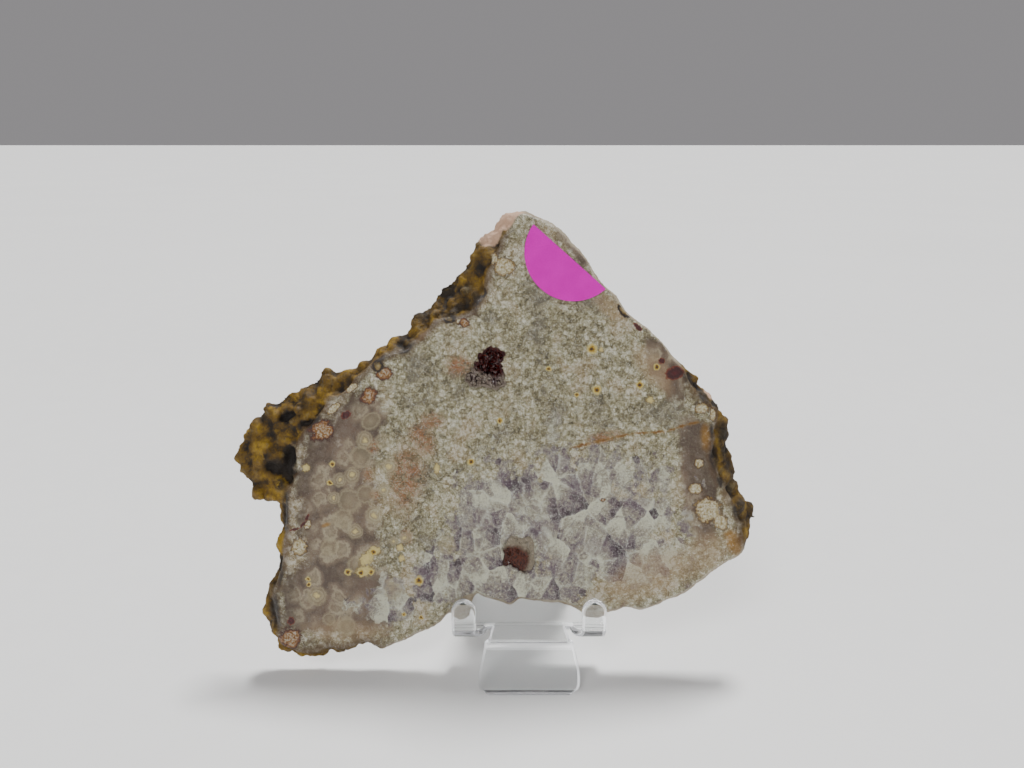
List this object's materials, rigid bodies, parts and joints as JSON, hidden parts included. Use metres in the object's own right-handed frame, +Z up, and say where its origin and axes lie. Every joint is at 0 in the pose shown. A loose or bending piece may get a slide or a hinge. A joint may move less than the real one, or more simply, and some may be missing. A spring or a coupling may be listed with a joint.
{
  "type": "flower agate slab on a display easel",
  "caption": "Rough-edged flower agate slab, sawn flat on both sides, leaning back on a clear one-piece display easel, with a bare half-round sticker.",
  "frame": {"origin": "on the surface that the easel stands on, under the middle of the whole object's bounding box", "axes": "+X to the right as seen from the slab's show face, +Y from the show face to the easel's rear leg, +Z up"},
  "size_m": [0.2064, 0.0738, 0.1738],
  "materials": {
    "agate": "sawn and polished face, rough rind",
    "upper_druse": "glittering crystal faces",
    "lower_druse": "glittering crystal faces",
    "label": "fluorescent magenta paper, satin",
    "clear_sheet": "clear, flame-polished edges"
  },
  "bodies": {
    "root": {"slab": "agate", "upper_vug_crystals": "upper_druse", "lower_vug_crystals": "lower_druse", "sticker": "label", "easel": "clear_sheet"}
  },
  "joints": []
}
